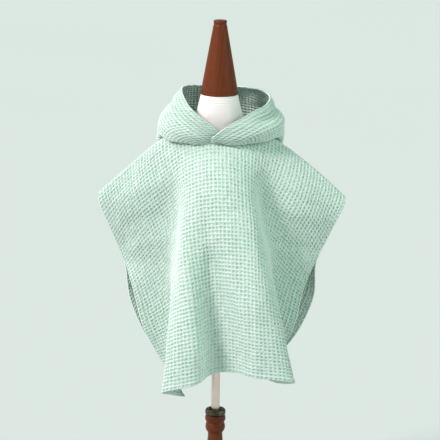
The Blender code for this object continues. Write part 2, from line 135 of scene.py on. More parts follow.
hoodRight = (
    (-10.0, 0.0092, -0.001, 0.01, 0.0905, 1.036, 0.0925, 1.04, 0.0945, 1.044),
    (5.0, 0.0078, 0.001, 0.0092, 0.092, 1.041, 0.095, 1.051, 0.095, 1.063),
    (18.0, 0.0064, 0.006, 0.0095, 0.1005, 1.044, 0.1015, 1.06, 0.094, 1.076),
    (32.0, 0.0044, 0.011, 0.011, 0.112, 1.05, 0.108, 1.068, 0.094, 1.086),
    (50.0, 0.004, 0.019, 0.015, 0.129, 1.059, 0.119, 1.08, 0.0985, 1.1),
    (74.0, 0.004, 0.04, 0.019, 0.147, 1.064, 0.136, 1.089, 0.113, 1.113),
    (93.0, 0.004, 0.066, 0.014, 0.153, 1.06, 0.144, 1.092, 0.12, 1.125),
    (120.0, 0.0038, 0.088, 0.012, 0.162, 1.042, 0.15, 1.09, 0.117, 1.132),
    (150.0, 0.0036, 0.104, 0.012, 0.166, 1.01, 0.15, 1.082, 0.102, 1.137),
    (180.0, 0.0036, 0.112, 0.012, 0.17, 0.99, 0.15, 1.076, 0.092, 1.137),
)
hoodCentre = (0.0, 0.010, 1.05)   # the hood is laid out by angle round this point, 0 at the front
hoodGrid = {
    "turns": 240,             # steps round and from seam to rim, before the weave is laid on
    "steps": 260,
    "quads": 5,               # mesh steps in one cell
    "calm": 0.8,              # the hood wanders less than the panels, as a share
    "inset": 0.0015,          # from the neck hole's edge to the seam
    "pace": 0.6,              # how closely the curve follows the spacing of its knots
}

waffle = {
    "cell": 0.009,            # pitch of the honeycomb down the cloth
    "quads": 3,               # mesh steps in one cell of a panel
    "ridge": 0.0012,          # how far the ridges stand out, and the pits go in
    "pit": 0.0010,
    "hemRelief": 0.85,        # share of the relief that is left on a folded hem
    "hemRise": 0.0006,
    "grooveDepth": 0.0010,    # where the hem stitches pull the cloth in
    "grooveWidth": 0.0014,
    "seat": 0.0022,           # from the stitch groove to the inner edge of the hem
    "edgeHalf": 0.0009,       # half thickness at a rounded edge
    "edgeBulge": 0.0007,
    "pucker": 0.0006,
    "across": 75,             # whole cells over a panel's width
    "unevenness": (0.72, 1.22),   # least and most depth of a pit, as a share
    "block": (97, 89),        # cells before the unevenness comes round again
    "crossing": 0.35,         # how much higher the ridges stand where they cross, as a share
    "stray": 0.0008,          # how far the rows wander sideways
    "wander": 0.0010,         # slow unevenness of the hanging cloth
}
longest = {   # the longest wave of each unevenness
    "panel": 0.16,
    "hood": 0.10,
    "panelEdge": 0.030,
    "hoodEdge": 0.028,
    "stray": 0.045,
}
puckerReach = 0.014        # how far in from an edge it puckers

frontCreases = (  # soft pressed creases: from across, down, to across, down, half width, height
    (-0.300, 0.055, -0.150, 0.120, 0.020, 0.0030),
    (-0.318, 0.110, -0.165, 0.205, 0.016, -0.0028),
    (-0.335, 0.165, -0.150, 0.270, 0.014, 0.0032),
    (-0.335, 0.200, -0.180, 0.330, 0.015, -0.0026),
    (-0.090, 0.130, -0.060, 0.300, 0.014, 0.0018),
    (-0.045, 0.250, -0.035, 0.480, 0.010, -0.0022),
    (0.020, 0.330, 0.035, 0.560, 0.014, 0.0024),
    (0.060, 0.400, 0.062, 0.600, 0.009, -0.0020),
    (-0.110, 0.300, -0.075, 0.640, 0.026, 0.0075),
    (-0.028, 0.330, -0.018, 0.640, 0.024, -0.0085),
    (0.045, 0.420, 0.060, 0.640, 0.026, 0.0060),
    (0.130, 0.180, 0.110, 0.420, 0.014, 0.0020),
    (0.318, 0.080, 0.170, 0.165, 0.018, 0.0028),
    (0.335, 0.160, 0.165, 0.255, 0.014, -0.0028),
    (0.335, 0.185, 0.190, 0.330, 0.014, 0.0030),
    (0.250, 0.330, 0.190, 0.500, 0.016, -0.0026),
)
backCreases = (
    (-0.330, 0.165, -0.160, 0.260, 0.015, 0.0030),
    (-0.320, 0.100, -0.170, 0.180, 0.017, -0.0026),
    (-0.120, 0.200, -0.140, 0.460, 0.014, 0.0022),
    (-0.035, 0.160, -0.030, 0.420, 0.012, -0.0024),
    (0.040, 0.220, 0.045, 0.560, 0.014, 0.0022),
    (0.120, 0.240, 0.110, 0.480, 0.012, -0.0022),
    (0.330, 0.165, 0.170, 0.270, 0.015, 0.0030),
    (0.320, 0.105, 0.180, 0.190, 0.017, -0.0026),
    (0.240, 0.340, 0.200, 0.520, 0.016, 0.0024),
)
hoodCreases = {  # distances from the centre back seam and from the rim: the same columns
    "left": (
        (0.120, 0.060, 0.330, 0.020, 0.012, -0.0020),
        (0.020, 0.120, 0.220, 0.085, 0.016, 0.0030),
        (0.060, 0.170, 0.240, 0.120, 0.012, -0.0022),
        (0.200, 0.060, 0.330, 0.050, 0.010, 0.0018),
    ),
    "right": (
        (0.090, 0.044, 0.300, 0.032, 0.016, -0.0075),
        (0.180, 0.075, 0.330, 0.050, 0.012, 0.0030),
        (0.030, 0.130, 0.220, 0.095, 0.015, 0.0028),
        (0.060, 0.180, 0.230, 0.130, 0.012, -0.0022),
    ),
}


def smooth(low, high, x):
    t = np.clip((x - low) / (high - low), 0.0, 1.0)
    return t * t * (3 - 2 * t)


def unit(vectors):
    return vectors / np.maximum(np.linalg.norm(vectors, axis=-1, keepdims=True), 1e-12)


def spline(knots, points, x, start=None):
    # smooth curve through points (knot, sample, 3) at x (sample)
    count = len(points)
    knots = np.broadcast_to(knots, (count, len(x)))
    step = np.diff(knots, axis=0)[:, :, None]
    rate = np.diff(points, axis=0) / step
    slope = np.empty_like(points)
    slope[1:-1] = (rate[:-1] * step[1:] + rate[1:] * step[:-1]) / (step[:-1] + step[1:])
    slope[0] = 1.5 * rate[0] - 0.5 * slope[1] if start is None else start
    slope[-1] = 1.5 * rate[-1] - 0.5 * slope[-2]
    low = np.clip((x[None, :] >= knots).sum(axis=0) - 1, 0, count - 2)
    pick = np.arange(len(x))
    width = step[low, pick]
    t = (x - knots[low, pick])[:, None] / width
    t2, t3 = t * t, t * t * t
    return ((2 * t3 - 3 * t2 + 1) * points[low, pick] + (t3 - 2 * t2 + t) * width * slope[low, pick]
            + (3 * t2 - 2 * t3) * points[low + 1, pick] + (t3 - t2) * width * slope[low + 1, pick])


def panelPlace(folds, side, across, down):
    # middle of the cloth of a panel at places of its flat cut
    lines, tops, hems = [], [], []
    for _, top, hem, reach, drop, places in folds:
        places = np.array(places, float)
        places[0, 1] += side * poncho["seamGap"] / 2
        over = places[0] + (0.0, side * reach, -drop)
        arc = math.pi / 2 * math.hypot(reach, drop) / math.sqrt(2)
        knots = np.array((0.0, arc) + poncho["stations"][1:])[:, None]
        stops = np.vstack((places[:1], over[None], places[1:]))[:, None, :] * np.ones((1, len(down), 1))
        lines.append(spline(knots, stops, down, np.array((0.0, side, 0.0))))
        tops.append(top)
        hems.append(hem)
    tops, hems = np.array(tops)[:, None], np.array(hems)[:, None]
    return spline(tops + (hems - tops) * down / poncho["length"], np.array(lines), across)


def panelNormal(folds, side, across, down):
    h, edge = 0.0004, poncho["width"] / 2
    low, high = np.maximum(down - h, 0.0), np.minimum(down + h, poncho["length"])
    left, right = np.maximum(across - h, -edge), np.minimum(across + h, edge)
    along = panelPlace(folds, side, right, down) - panelPlace(folds, side, left, down)
    fall = panelPlace(folds, side, across, high) - panelPlace(folds, side, across, low)
    out = np.cross(along, fall) * side
    out[down <= 0.0, 1] = 0.0
    return unit(out)


def neckScoop(across, depth):
    inside = np.clip(1.0 - (across / poncho["neckHalf"]) ** 2, 0.0, None)
    return depth * inside ** 0.5


def gridNormal(grid):
    return unit(np.cross(np.gradient(grid, axis=0), np.gradient(grid, axis=1)))


creaseBow, creaseEnds = 0.006, 0.03   # how far a crease bows sideways, and how it dies out


def pressCreases(creases, across, down):
    # height of the pressed creases: each runs along its line and dies out at both ends
    rise = np.zeros_like(across)
    for a0, d0, a1, d1, half, height in creases:
        run = math.hypot(a1 - a0, d1 - d0)
        along = ((across - a0) * (a1 - a0) + (down - d0) * (d1 - d0)) / run
        off = ((across - a0) * (d1 - d0) - (down - d0) * (a1 - a0)) / run
        bow = creaseBow * np.sin(along / run * math.pi)
        ends = smooth(-creaseEnds, creaseEnds, along) * smooth(-creaseEnds, creaseEnds, run - along)
        rise += height * ends * np.exp(-((off - bow) / half) ** 2)
    return rise


def slowWaves(across, down, seed, longest, count=7):
    # seeded sum of plane waves, about -1 to 1
    dice = np.random.default_rng(seed)
    total = np.zeros_like(across)
    for _ in range(count):
        turn, phase = dice.uniform(0, 2 * math.pi, 2)
        length = longest * dice.uniform(0.45, 1.0)
        total += np.sin((across * math.cos(turn) + down * math.sin(turn)) * 2 * math.pi / length + phase)
    return total / math.sqrt(count) / 1.4


def waffleRelief(across, down):
    # ridges on whole cells, a pit in the middle of each, no two cells quite alike
    dice = np.random.default_rng(5)
    uneven = dice.uniform(*waffle["unevenness"], waffle["block"])
    own = [np.floor(x / waffle["cell"] + 1e-6).astype(int) % count
           for x, count in zip((across, down), uneven.shape)]
    cell = uneven[tuple(own)]
    fromRidge = [np.abs((x / waffle["cell"] + 0.5) % 1.0 - 0.5) * 2 for x in (across, down)]
    inside = smooth(0.0, 0.66, np.minimum(*fromRidge))
    crossing = smooth(0.5, 0.0, np.maximum(*fromRidge))
    ridge = waffle["ridge"]
    return ridge * (1 + waffle["crossing"] * crossing) - (ridge + waffle["pit"] * cell) * inside


def gridLines(low, high, step, extra):
    # whole steps from low to high, with the extra lines of a hem in place of the steps that they crowd
    lines = np.arange(round((high - low) / step) + 1) * step + low
    keep = np.ones(len(lines), bool)
    for x in extra:
        keep &= np.abs(lines - x) > step * 0.28
    keep[[0, -1]] = True
    return np.unique(np.round(np.concatenate((lines[keep], extra)), 6))


def nearestLine(lines, x):
    return int(np.abs(np.asarray(lines) - x).argmin())


def surfacePath(surface, line, face):
    # places and ways up along grid points, on the outer (1) or inner (-1) face
    middle, normal, half = surface
    return [(middle[i, j] + face * normal[i, j] * half[i, j], face * normal[i, j]) for i, j in line]


def hemLines(edge, width, sign):
    # an edge, its rounding, and the stitch groove on the inner side of the hem
    return [edge + sign * d for d in (0.0, 0.0011, width - waffle["seat"] - 0.0014, width - waffle["seat"],
                                     width - waffle["seat"] + 0.0012, width)]


def placed(name, data):
    made = bpy.data.objects.new(name, data)
    scene.collection.objects.link(made)
    return made


def stitchedSheet(name, middle, normal, half, ids, flat, band):
    # closed cloth from a grid: both faces and a rounded edge
    # ids joins the grid points that a cut leaves out
    corner = np.stack((ids[:-1, :-1], ids[1:, :-1], ids[1:, 1:], ids[:-1, 1:]), axis=-1).reshape(-1, 4)
    points, out = middle.reshape(-1, 3), normal.reshape(-1, 3)
    thick = half.reshape(-1, 1)
    faces = []
    for ring in corner.tolist():
        kept = [k for n, k in enumerate(ring) if k != ring[n - 1]]
        if len(set(kept)) >= 3:
            faces.append(kept)
    first = points[faces[len(faces) // 2]]
    if np.dot(np.cross(first[1] - first[0], first[2] - first[0]), out[faces[len(faces) // 2][0]]) < 0:
        faces = [ring[::-1] for ring in faces]
    sides = {}
    for ring in faces:
        for a, b in zip(ring, ring[1:] + ring[:1]):
            sides[(a, b)] = True
    rim = [(a, b) for a, b in sides if (b, a) not in sides]
    used = sorted({k for ring in faces for k in ring})
    order = {k: n for n, k in enumerate(used)}
    count = len(used)
    used = np.array(used)
    outer, inner = points[used] + out[used] * thick[used], points[used] - out[used] * thick[used]
    away = {}
    for a, b in rim:
        push = np.cross(points[b] - points[a], out[a])
        push /= max(np.linalg.norm(push), 1e-9)
        away[a] = away.get(a, 0) + push
        away[b] = away.get(b, 0) + push
    edge = {k: 2 * count + n for n, k in enumerate(away)}
    lip = np.array([points[k] + v / max(np.linalg.norm(v), 1e-9) * waffle["edgeBulge"]
                    for k, v in away.items()])
    rings = [[order[k] for k in ring] for ring in faces]
    rings += [[order[k] + count for k in reversed(ring)] for ring in faces]
    for a, b in rim:
        rings.append([order[b], order[a], edge[a], edge[b]])
        rings.append([edge[b], edge[a], order[a] + count, order[b] + count])
    verts = np.concatenate((outer, inner, lip))
    mesh = bpy.data.meshes.new(name)
    mesh.from_pydata(verts.tolist(), [], rings)
    mesh.polygons.foreach_set("use_smooth", np.ones(len(rings), bool))
    source = np.concatenate((used, used, np.array(list(away))))
    layer = mesh.uv_layers.new(name="flatCut")
    loops = np.zeros(len(mesh.loops), np.int32)
    mesh.loops.foreach_get("vertex_index", loops)
    layer.data.foreach_set("uv", flat.reshape(-1, 2)[source][loops].astype(np.float32).ravel())
    mark = mesh.attributes.new("hemBand", "FLOAT", "POINT")
    mark.data.foreach_set("value", band.reshape(-1)[source].astype(np.float32))
    mesh.update()
    return placed(name, mesh)


def hemProfile(edgeDistance, widths, edge):
    # thickness, relief share and band mask near hems: distances from each hem with its width
    rise, band = np.zeros_like(edgeDistance[0]), np.zeros_like(edgeDistance[0])
    relief = np.ones_like(edgeDistance[0])
    for far, width in zip(edgeDistance, widths):
        inHem = smooth(width + 0.0005, width - 0.0015, far)
        rise = np.maximum(rise, waffle["hemRise"] * inHem)
        relief = np.minimum(relief, 1 - (1 - waffle["hemRelief"]) * inHem)
        band = np.maximum(band, inHem)
        groove = np.exp(-((far - width + waffle["seat"]) / waffle["grooveWidth"]) ** 2)
        rise = rise - waffle["grooveDepth"] * groove
        relief = relief * (1 - 0.9 * groove)
    half = poncho["thickness"] / 2 + rise
    rounding = smooth(0.0, 0.0016, edge)
    return waffle["edgeHalf"] * (1 - rounding) + half * rounding, relief * rounding, band


def panelPiece(name, folds, creases, side, depth, hems, seed):
    cell, half, length = waffle["cell"], poncho["width"] / 2, poncho["length"]
    columns = gridLines(-half, half, poncho["width"] / waffle["across"] / waffle["quads"],
                        hemLines(-half, hems["left"], 1) + hemLines(half, hems["right"], -1))
    rows = gridLines(0.0, length, cell / waffle["quads"], hemLines(length, hems["bottom"], -1) + [0.0012])
    across, down = np.meshgrid(columns, rows, indexing="ij")
    top = neckScoop(columns, depth)
    first = (rows[None, :] > top[:, None] + 0.0002).argmax(axis=1) - 1
    down[np.arange(len(columns)), first] = top
    ids = np.arange(across.size).reshape(across.shape)
    ids = np.take_along_axis(ids, np.maximum(np.arange(len(rows))[None, :], first[:, None]), axis=1)
    shape = across.shape + (3,)
    middle = panelPlace(folds, side, across.ravel(), down.ravel()).reshape(shape)
    normal = panelNormal(folds, side, across.ravel(), down.ravel()).reshape(shape)
    edges = [half + across, half - across, length - down]
    widths = [hems["left"], hems["right"], hems["bottom"]]
    nearest = np.minimum.reduce(edges)
    free = smooth(0.0, 0.05, down - top[:, None])
    ripple = slowWaves(across, down, seed, longest["panel"])
    lift = pressCreases(creases, across, down) + waffle["wander"] * ripple
    ripple = slowWaves(across, down, seed + 1, longest["panelEdge"])
    lift += waffle["pucker"] * np.exp(-(nearest / puckerReach) ** 2) * ripple
    middle = middle + normal * (lift * free)[:, :, None]
    fresh = gridNormal(middle)
    facing = np.sign((fresh * normal).sum(-1))
    usable = (np.arange(len(rows))[None, :] > first[:, None] + 1)[:, :, None]
    normal = np.where(usable, fresh * facing[:, :, None], normal)
    stray = np.minimum(free, smooth(0.0, 0.02, nearest))
    for axis, number in ((0, 3), (1, 4)):   # the weave wanders a little sideways
        way = unit(np.gradient(middle, axis=axis)) * usable
        ripple = slowWaves(across, down, seed + number, longest["stray"])
        middle += way * (waffle["stray"] * stray * ripple)[:, :, None]
    seam = down - top[:, None]
    thick, relief, band = hemProfile(edges, widths, np.minimum(nearest, seam))
    cellsAcross = (across + half) * cell * waffle["across"] / poncho["width"]
    cells = waffleRelief(cellsAcross, down) * relief
    flat = np.stack((cellsAcross, down), axis=-1)
    made = stitchedSheet(name, middle, normal, thick + cells, ids, flat, band)
    surface = (middle, normal, thick + cells)
    rowsDown = [k for k in range(len(rows)) if rows[k] > hems["top"]]
    inset = waffle["seat"]
    sideLines = [[(nearestLine(columns, x), k) for k in rowsDown]
                 for x in (hems["left"] - inset - half, half - hems["right"] + inset)]
    bottom = nearestLine(rows, length - hems["bottom"] + inset)
    lines = sideLines + [[(k, bottom) for k in range(len(columns))]]
    paths = [surfacePath(surface, line, face) for line in lines for face in (1, -1)]
    if hems["shoulder"]:
        row = nearestLine(rows, hems["shoulder"])
        outside = [k for k in range(len(columns)) if abs(columns[k]) > poncho["neckHalf"] + 0.012]
        for sign in (-1, 1):
            paths.append(surfacePath(surface, [(k, row) for k in outside if columns[k] * sign > 0], 1))
    return made, paths


def hoodSurface(table, hand, steps, turns):
    # middle of the cloth of one hood half, seam to rim, laid over the panels
    turns = np.asarray(turns, float)
    table = np.array(table)
    sizes = spline(table[:, :1], table[:, None, 1:] * np.ones((1, len(turns), 1)), turns).T
    lift, fold, foldLift, radii, heights = sizes[0], sizes[1], sizes[2], sizes[3::2], sizes[4::2]
    sin, cos = np.sin(np.radians(turns)) * hand, np.cos(np.radians(turns))
    ahead = cos > 0
    stops = []   # at shares of the fold's reach and of its rise
    for share, rise in ((0.0, 0.0), (0.30, 0.05), (0.58, 0.12), (0.82, 0.32), (1.0, 1.0)):
        reach = hoodGrid["inset"] + fold * share
        across = (poncho["neckHalf"] + reach) * sin
        down = (np.where(ahead, poncho["neckFront"], poncho["neckBack"]) + reach) * np.abs(cos)
        level = (lift + (foldLift - lift) * rise)[:, None]
        over = [panelPlace(folds, side, across, down) + panelNormal(folds, side, across, down) * level
                for folds, side in ((frontFolds, -1), (backFolds, 1))]
        stops.append(np.where(ahead[:, None], *over))
    for radius, z in zip(radii, heights):
        stops.append(np.stack((radius * sin, hoodCentre[1] - radius * cos, z), axis=1))
    stops = np.array(stops)
    stops[:, -1, 0] = hand * poncho["seamGap"] / 2
    length = np.linalg.norm(np.diff(stops, axis=0), axis=2)
    knots = np.vstack((np.zeros(len(turns)), np.cumsum(length ** hoodGrid["pace"], axis=0)))
    knots /= knots[-1]
    grid = np.stack([spline(knots, stops, np.full(len(turns), s)) for s in steps], axis=1)
    grid[-1, :, 0] = hand * poncho["seamGap"] / 2
    return grid


def readAt(values, where):
    # values at whole numbers, read between them
    low = np.clip(where.astype(int), 0, len(values) - 2)
    t = (where - low)[:, None]
    return values[low] * (1 - t) + values[low + 1] * t


def hoodPiece(name, table, hand, creases, hemWidth, seed):
    # rows keep their distance from the rim and columns theirs from the centre back seam, as the weave does
    turns = np.linspace(180.0, table[0][0], hoodGrid["turns"])
    fine = hoodSurface(table, hand, np.linspace(1.0, 0.0, hoodGrid["steps"]), turns[::-1])[::-1]
    strides = np.linalg.norm(np.diff(fine, axis=1), axis=2)
    walk = np.concatenate((np.zeros((len(turns), 1)), np.cumsum(strides, axis=1)), 1)
    deep = walk[:, -1]
    step = waffle["cell"] / hoodGrid["quads"]
    rows = gridLines(0.0, math.floor(deep.max() / step) * step, step, hemLines(0.0, hemWidth, 1))
    lines, reach = [], []
    for row in rows:
        stop = int((deep < row).argmax()) if (deep < row).any() else len(turns)
        steps = [np.interp(min(row, deep[k]), walk[k], np.arange(hoodGrid["steps"]))
                 for k in range(max(stop, 2))]
        line = np.array([readAt(fine[k], np.array([where]))[0] for k, where in enumerate(steps)])
        far = np.concatenate(([0.0], np.cumsum(np.linalg.norm(np.diff(line, axis=0), axis=1))))
        lines.append((line, far))
        reach.append(far[-1])
    reach = np.array(reach)
    columns = gridLines(0.0, math.ceil(reach.max() / step) * step, step, [0.0012])
    wide, tall = len(columns), len(rows)
    middle = np.zeros((wide, tall, 3))
    along = np.minimum(columns[:, None], reach[None, :])
    for j, (line, far) in enumerate(lines):
        middle[:, j] = readAt(line, np.interp(along[:, j], far, np.arange(len(far))))
    last = (columns[:, None] >= reach[None, :] - 1e-9).argmax(axis=0)
    last[~(columns[:, None] >= reach[None, :] - 1e-9).any(axis=0)] = wide - 1
    ids = np.arange(wide * tall).reshape(wide, tall)
    ids = np.take_along_axis(ids, np.minimum(np.arange(wide)[:, None], last[None, :]), axis=0)
    away = np.broadcast_to(rows[None, :], along.shape)
    spread = middle.copy()
    for j in range(tall):   # carry the rows on past their ends, so that the facing is true up to the edge
        k = last[j]
        if 1 < k < wide - 1:
            stride = (middle[k, j] - middle[k - 2, j]) / 2
            spread[k:, j] = middle[k, j] + stride * np.arange(wide - k)[:, None]
    normal = gridNormal(spread)
    outward = middle - np.array(hoodCentre)
    if (normal[:wide // 3] * outward[:wide // 3]).sum() < 0:
        normal = -normal
    ripple = slowWaves(along, away, seed, longest["hood"])
    lift = pressCreases(creases, along, away) + waffle["wander"] * hoodGrid["calm"] * ripple
    ripple = slowWaves(along, away, seed + 1, longest["hoodEdge"])
    lift += waffle["pucker"] * np.exp(-(away / puckerReach) ** 2) * ripple
    free = smooth(0.0, 0.03, along) * smooth(0.0, 0.03, reach[None, :] - along)
    middle = middle + normal * (lift * free)[:, :, None]
    spread += normal * (lift * free)[:, :, None]
    fresh = gridNormal(spread)
    fresh *= np.sign((fresh * normal).sum(-1, keepdims=True))
    fresh[0, :, 0] = 0.0
    fresh = unit(fresh)
    edge = np.minimum(np.minimum(away, reach[None, :] - along), along + 0.0004)
    thick, relief, band = hemProfile([away], [hemWidth], edge)
    cells = waffleRelief(along, away) * relief
    flat = np.stack((along, away), axis=-1)
    middle[0, :, 0] = hand * poncho["seamGap"] / 2
    made = stitchedSheet(name, middle, fresh, thick + cells, ids, flat, band)
    surface = (middle, fresh, thick + cells)
    row = nearestLine(rows, hemWidth - waffle["seat"])
    column = nearestLine(columns, 0.0036)
    lines = [[(k, row) for k in range(last[row] + 1)], [(column, k) for k in range(tall) if last[k] > column]]
    return made, [surfacePath(surface, line, face) for line in lines for face in (1, -1)]


class Wired:
    # a socket that takes part in plain arithmetic
    def __init__(self, graph, socket):
        self.graph, self.socket = graph, socket

    def math(self, operation, *values):
        sockets = dict(enumerate(values))
        return self.graph.node("ShaderNodeMath", {"operation": operation}, sockets)

    def of(self, operation):
        return self.math(operation, self)

    def __add__(self, other):
        return self.math("ADD", self, other)

    def __sub__(self, other):
        return self.math("SUBTRACT", self, other)

    def __rsub__(self, other):
        return self.math("SUBTRACT", other, self)

    def __mul__(self, other):
        return self.math("MULTIPLY", self, other)

    def __truediv__(self, other):
        return self.math("DIVIDE", self, other)

    def __pow__(self, other):
        return self.math("POWER", self, other)


class Graph:
    # a node tree, with one way to add any node
    def __init__(self, tree):
        self.tree = tree

    def node(self, kind, settings, sockets, out=0):
        made = self.tree.nodes.new(kind)
        for key, value in settings.items():
            if key == "stops":
                ramp = made.color_ramp
                for place, colour in value[2:]:
                    ramp.elements.new(place)
                for stop, (place, colour) in zip(ramp.elements, sorted(value)):
                    stop.position, stop.color = place, (*colour, 1.0)
            else:
                setattr(made, key, value)
        for key, value in sockets.items():
            if isinstance(value, Wired):
                self.tree.links.new(value.socket, made.inputs[key])
            else:
                made.inputs[key].default_value = value
        return Wired(self, made.outputs[out])

    def mix(self, share, first, second):
        first, second = [(*c, 1.0) if isinstance(c, tuple) else c for c in (first, second)]
        return self.node("ShaderNodeMix", {"data_type": "RGBA"}, {0: share, 6: first, 7: second}, 2)

    def noise(self, vector, scale, detail=2.0, roughness=0.5):
        return self.node("ShaderNodeTexNoise", {}, {"Vector": vector, "Scale": scale, "Detail": detail,
                                                     "Roughness": roughness})

    def stretch(self, vector, scale, turn=(0, 0, 0)):
        return self.node("ShaderNodeMapping", {}, {"Vector": vector, "Rotation": turn, "Scale": scale})

    def split(self, vector):
        first = self.node("ShaderNodeSeparateXYZ", {}, {0: vector})
        return first, Wired(self, first.socket.node.outputs[1])

    def range(self, value, low, high, newLow=0.0, newHigh=1.0):
        return self.node("ShaderNodeMapRange", {"interpolation_type": "SMOOTHSTEP"},
                         {0: value, 1: low, 2: high, 3: newLow, 4: newHigh})


class Finish(Graph):
    # a material; what is the same all over is set on the shader's own sockets
    def __init__(self, name, **fixed):
        self.made = bpy.data.materials.new(name)
        self.made.use_nodes = True
        super().__init__(self.made.node_tree)
        self.shader = self.tree.nodes["Principled BSDF"]
        for key, value in fixed.items():
            self.shader.inputs[key.replace("_", " ")].default_value = value
        self.place = self.node("ShaderNodeTexCoord", {}, {}, 3)

    def feed(self, **links):
        for key, value in links.items():
            self.tree.links.new(value.socket, self.shader.inputs[key.replace("_", " ")])

    def bump(self, height, distance, strength=1.0, normal=None):
        sockets = {"Height": height, "Distance": distance, "Strength": strength}
        if normal is not None:
            sockets["Normal"] = normal
        return self.node("ShaderNodeBump", {}, sockets)


cotton = {
    "ridge": (0.755, 0.850, 0.800),
    # painted shade: the darker colour of the pits stands in for the shade that falls into them; the ridges
    # carry the cloth's own colour
    "pit": (0.320, 0.595, 0.475),
    "hem": (0.700, 0.790, 0.750),
    "yarn": 0.0011,           # pitch of the yarns on a ridge
    "yarnDepth": 0.00022,
    "fuzzDepth": 0.00016,
    "ridgeDepth": 0.0017,     # the roundness of the ridges, on top of the cloth's own relief
    "sway": 0.0016,           # unevenness of the ridges' run
}


def waffleCotton():
    finish = Finish("waffleCotton", Roughness=0.95, Sheen_Weight=0.14, Sheen_Roughness=0.55,
                    Sheen_Tint=(0.55, 0.92, 0.74, 1.0), Specular_IOR_Level=0.06)
    flat = finish.node("ShaderNodeUVMap", {"uv_map": "flatCut"}, {})
    across, down = finish.split(flat)
    band = finish.node("ShaderNodeAttribute", {"attribute_name": "hemBand"}, {}, 2)
    fromRidge, own = [], []
    for way, close in ((across, 219.0), (down, 87.0)):   # the ridges run a little unevenly
        sway = finish.noise(finish.stretch(flat, (close, 90.0, 1.0)), 1.0, 1.0) - 0.5
        cells = (way + sway * cotton["sway"]) / waffle["cell"]
        own.append(cells.of("FLOOR"))
        ridge = cells.of("FRACT") - 0.5
        fromRidge.append(1.0 - ridge.of("ABSOLUTE") * 2.0)
    cell = finish.node("ShaderNodeCombineXYZ", {}, {0: own[0], 1: own[1]})
    luck = finish.node("ShaderNodeTexWhiteNoise", {"noise_dimensions": "2D"}, {"Vector": cell})
    spot = (1.0 - fromRidge[0]) ** 2.0 + (1.0 - fromRidge[1]) ** 2.0
    inside = 1.0 - spot.of("SQRT")
    # mask of the painted pit shade, fainter on the hems
    pit = finish.range(inside + luck * 0.22, 0.38, 1.0) * (1.0 - band * 0.15)
    square = fromRidge[0].math("MINIMUM", *fromRidge)
    turn = 2 * math.pi / cotton["yarn"]
    yarn = (across * turn).of("SINE") * (down * turn).of("SINE")
    mottle = finish.noise(finish.place, 22.0, 3.0)
    fuzz = finish.noise(finish.place, 1500.0, 3.0, 0.65)
    # painted shade in the pits, deeper in some cells than others
    colour = finish.mix(pit * (luck * 0.5 + 0.62), cotton["ridge"], cotton["pit"])
    colour = finish.mix(band * 0.12, colour, cotton["hem"])
    # painted shade in the gaps between the yarns, in the pits' shade colour
    colour = finish.mix(finish.range(yarn, -1.0, 0.2, 0.22, 0.0), colour, cotton["pit"])
    colour = finish.mix(finish.range(mottle, 0.35, 0.65, 0.0, 0.07), colour, (0.77, 0.86, 0.81))
    colour = finish.mix(finish.range(fuzz, 0.45, 0.75, 0.0, 0.25), colour, (0.79, 0.87, 0.83))
    first = finish.bump(finish.range(square, 0.05, 0.75, 1.0, 0.0), cotton["ridgeDepth"], 1.0)
    second = finish.bump(yarn, cotton["yarnDepth"], 0.8, first)
    finish.feed(Base_Color=colour, Normal=finish.bump(fuzz, cotton["fuzzDepth"], 0.8, second))
    return finish.made


def mintThread():
    finish = Finish("mintThread", Roughness=0.6, Sheen_Weight=0.2)
    twist = finish.noise(finish.stretch(finish.place, (900, 900, 900)), 1.0, 2.0)
    colour = finish.mix(twist, (0.43, 0.65, 0.55), (0.66, 0.86, 0.77))
    finish.feed(Base_Color=colour, Normal=finish.bump(twist, 0.0002))
    return finish.made


def jerseyCover():
    finish = Finish("jerseyCover", Roughness=0.85, Sheen_Weight=0.2, Specular_IOR_Level=0.25)
    flat = finish.node("ShaderNodeUVMap", {"uv_map": "flatCut"}, {})
    across, down = finish.split(flat)
    wale = across * (2 * math.pi / 0.0013)
    loop = wale.of("SINE").of("ABSOLUTE")
    lean = down * (2 * math.pi / 0.0011) + loop * 1.6
    course = lean.of("SINE") * 0.5 + 0.5
    knit = loop * 0.6 + course * 0.4
    fuzz = finish.noise(finish.place, 900.0, 3.0)
    shade = finish.noise(finish.place, 9.0, 3.0)
    colour = finish.mix(finish.range(knit, 0.1, 0.6), (0.98, 0.85, 0.86), (1.0, 0.90, 0.91))
    colour = finish.mix(finish.range(shade, 0.3, 0.7, 0.0, 0.12), colour, (0.96, 0.86, 0.83))
    first = finish.bump(knit, 0.0003, 0.6)
    finish.feed(Base_Color=colour, Normal=finish.bump(fuzz, 0.0001, 0.5, first))
    return finish.made


